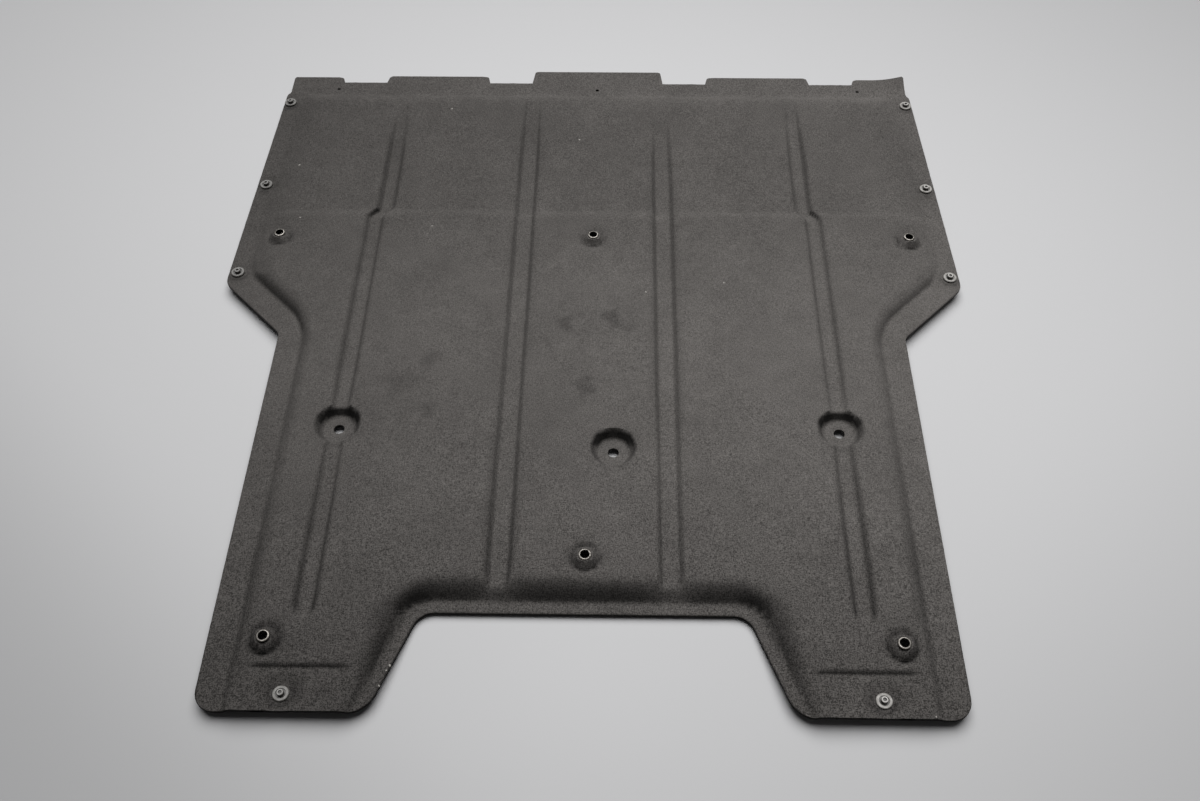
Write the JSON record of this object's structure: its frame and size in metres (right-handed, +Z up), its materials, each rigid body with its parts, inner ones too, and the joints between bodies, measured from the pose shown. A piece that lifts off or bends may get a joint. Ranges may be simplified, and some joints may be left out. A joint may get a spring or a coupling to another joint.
{
  "type": "engine splash shield",
  "caption": "Moulded felt engine splash shield: shallow grooved tray with a tabbed front edge, rear cut-out, bolt pockets, raised eyelets and push clips.",
  "frame": {"origin": "under the middle of the panel, on the surface that the tips of the push clips rest on", "axes": "+X across the car, +Y towards the tabbed front edge, +Z up through the road side of the felt"},
  "size_m": [0.8374, 0.902, 0.0265],
  "materials": {
    "felt": "matte needle felt, pressed",
    "clip_plastic": "satin",
    "eyelet_metal": "satin"
  },
  "bodies": {
    "root": {"felt_panel": "felt", "clip_grommet_front_left": "clip_plastic", "clip_pin_front_left": "clip_plastic", "clip_grommet_front_right": "clip_plastic", "clip_pin_front_right": "clip_plastic", "clip_grommet_side_left": "clip_plastic", "clip_pin_side_left": "clip_plastic", "clip_grommet_side_right": "clip_plastic", "clip_pin_side_right": "clip_plastic", "clip_grommet_ear_left": "clip_plastic", "clip_pin_ear_left": "clip_plastic", "clip_grommet_ear_right": "clip_plastic", "clip_pin_ear_right": "clip_plastic", "clip_grommet_leg_left": "clip_plastic", "clip_pin_leg_left": "clip_plastic", "clip_grommet_leg_right": "clip_plastic", "clip_pin_leg_right": "clip_plastic", "eyelet_front_left": "eyelet_metal", "eyelet_front_centre": "eyelet_metal", "eyelet_front_right": "eyelet_metal", "eyelet_rear_left": "eyelet_metal", "eyelet_rear_centre": "eyelet_metal", "eyelet_rear_right": "eyelet_metal"}
  },
  "joints": []
}
